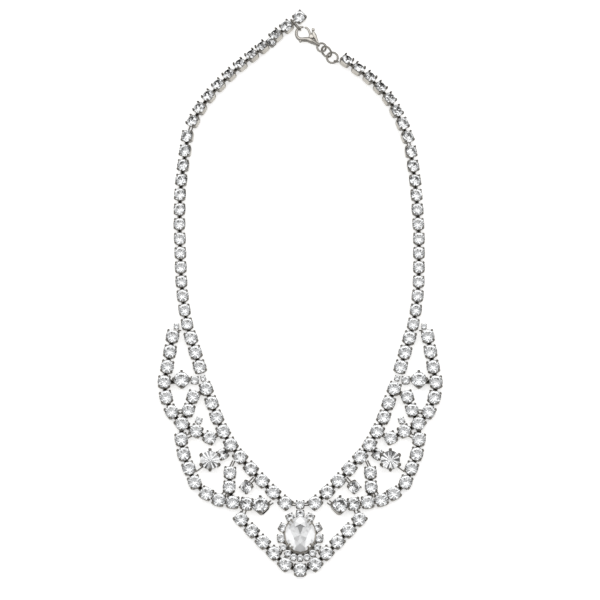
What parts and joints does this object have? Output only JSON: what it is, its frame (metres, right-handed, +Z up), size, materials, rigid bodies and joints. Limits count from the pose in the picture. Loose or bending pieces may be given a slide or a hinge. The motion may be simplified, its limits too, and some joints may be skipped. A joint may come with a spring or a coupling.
{
  "type": "bib necklace",
  "caption": "Bib necklace of clear round stones in prong settings, with a large oval stone at the centre front and a lobster claw clasp, closed and lying flat.",
  "frame": {"origin": "middle of the bounding box, on the surface the necklace lies on", "axes": "+Y towards the clasp, +Z up out of the stones' tables, +X to the right as worn stones look up"},
  "size_m": [0.1044, 0.2148, 0.0062],
  "materials": {
    "set_stones": "polished cups, each with a clear foil-backed stone",
    "metal": "polished",
    "crystal": "clear, cut and foil-backed"
  },
  "bodies": {
    "necklace": {"neck_chain_left_end": "set_stones", "neck_chain_left_upper": "set_stones", "neck_chain_left_middle": "set_stones", "neck_chain_left_lower": "set_stones", "neck_chain_right_upper": "set_stones", "neck_chain_right_middle": "set_stones", "neck_chain_right_lower": "set_stones", "inner_row_upper_right": "set_stones", "inner_row_upper_left": "set_stones", "inner_row_middle_right": "set_stones", "inner_row_middle_left": "set_stones", "inner_row_lower_right": "set_stones", "inner_row_lower_left": "set_stones", "outer_lobe_upper_right": "set_stones", "outer_lobe_upper_left": "set_stones", "outer_lobe_side_right": "set_stones", "outer_lobe_side_left": "set_stones", "outer_lobe_lower_right": "set_stones", "outer_lobe_lower_left": "set_stones", "slanting_chain_right": "set_stones", "slanting_chain_left": "set_stones", "lower_crossbar_right": "set_stones", "lower_crossbar_left": "set_stones", "upright_chain_right": "set_stones", "upright_chain_left": "set_stones", "lower_row_right": "set_stones", "lower_row_left": "set_stones", "lobe_bead_right": "set_stones", "lobe_bead_left": "set_stones", "row_bead_right": "set_stones", "row_bead_left": "set_stones", "crossbar_setting_right": "set_stones", "crossbar_setting_left": "set_stones", "crossbar_bead_right": "set_stones", "crossbar_bead_left": "set_stones", "standing_bead_right": "set_stones", "standing_bead_left": "set_stones", "round_setting_right": "set_stones", "round_setting_left": "set_stones", "square_setting_right": "set_stones", "square_setting_left": "set_stones", "side_setting_right": "set_stones", "side_setting_left": "set_stones", "corner_setting_right": "set_stones", "corner_setting_left": "set_stones", "bib_middle_setting": "set_stones", "lower_row_middle": "set_stones", "centre_setting": "set_stones", "centre_stone": "crystal", "clasp_body": "metal", "hook_link": "metal", "clasp_ring": "metal", "middle_ring": "metal", "chain_ring": "metal"},
    "lever": {"clasp_lever": "metal"}
  },
  "joints": [
    {"name": "lever_pivot", "type": "hinge", "parent": "necklace", "child": "lever", "pos_m": [0.0041, 0.09733, 0.0016], "axis": [0, 0, 1], "range_deg": [0, 20], "stiffness_Nm_per_rad": 0.002, "springref_deg": -5.73}
  ]
}
